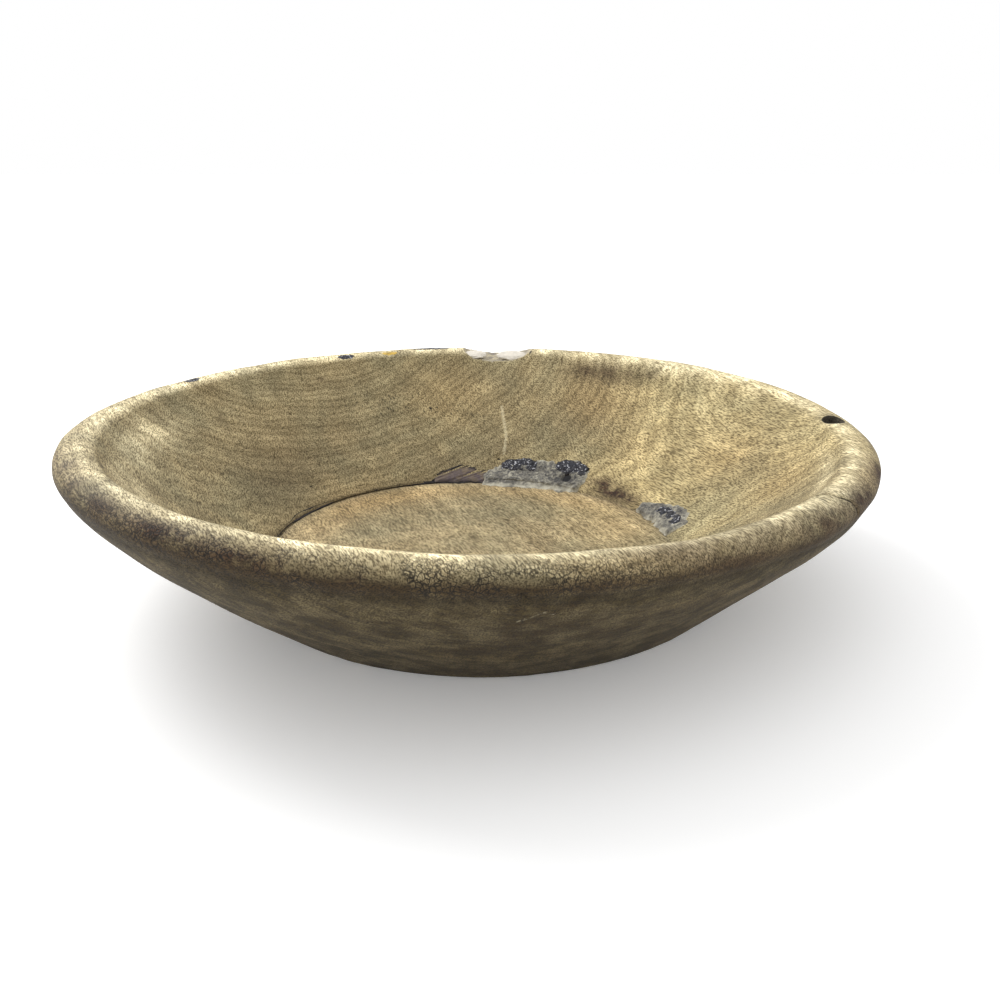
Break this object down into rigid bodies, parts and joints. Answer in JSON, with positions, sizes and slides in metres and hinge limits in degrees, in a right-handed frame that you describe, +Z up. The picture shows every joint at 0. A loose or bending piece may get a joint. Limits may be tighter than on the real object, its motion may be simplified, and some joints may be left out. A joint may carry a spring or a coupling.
{
  "type": "carved wooden bowl",
  "caption": "Wide shallow carved wooden bowl with a thick rolled rim, flat round floor and foot, and old fills in its floor corner and rim.",
  "frame": {"origin": "on the rim's vertical axis, in the plane of the foot", "axes": "+Z up out of the mouth, +X towards the small hole in the rim, +Y towards the chip in the rim"},
  "size_m": [0.4394, 0.4392, 0.0937],
  "materials": {
    "wood": "dry, worn, hand-carved, with open grain",
    "lime_fill": "chalky, crumbled lime or cement",
    "pitch": "hard dark pitch, dull with small glints",
    "putty": "matt white putty",
    "wax": "translucent-looking yellow wax"
  },
  "bodies": {
    "root": {"bowl_body": "wood", "corner_fill_back": "lime_fill", "corner_fill_right": "lime_fill", "corner_lump_left": "pitch", "corner_lump_right": "pitch", "corner_lump_small": "pitch", "corner_pitch_strip": "pitch", "seam_pitch_left": "pitch", "rim_putty_left": "putty", "rim_putty_right": "putty", "rim_pitch_left": "pitch", "rim_pitch_back": "pitch", "rim_pitch_sliver": "pitch", "rim_wax_spot": "wax"}
  },
  "joints": []
}
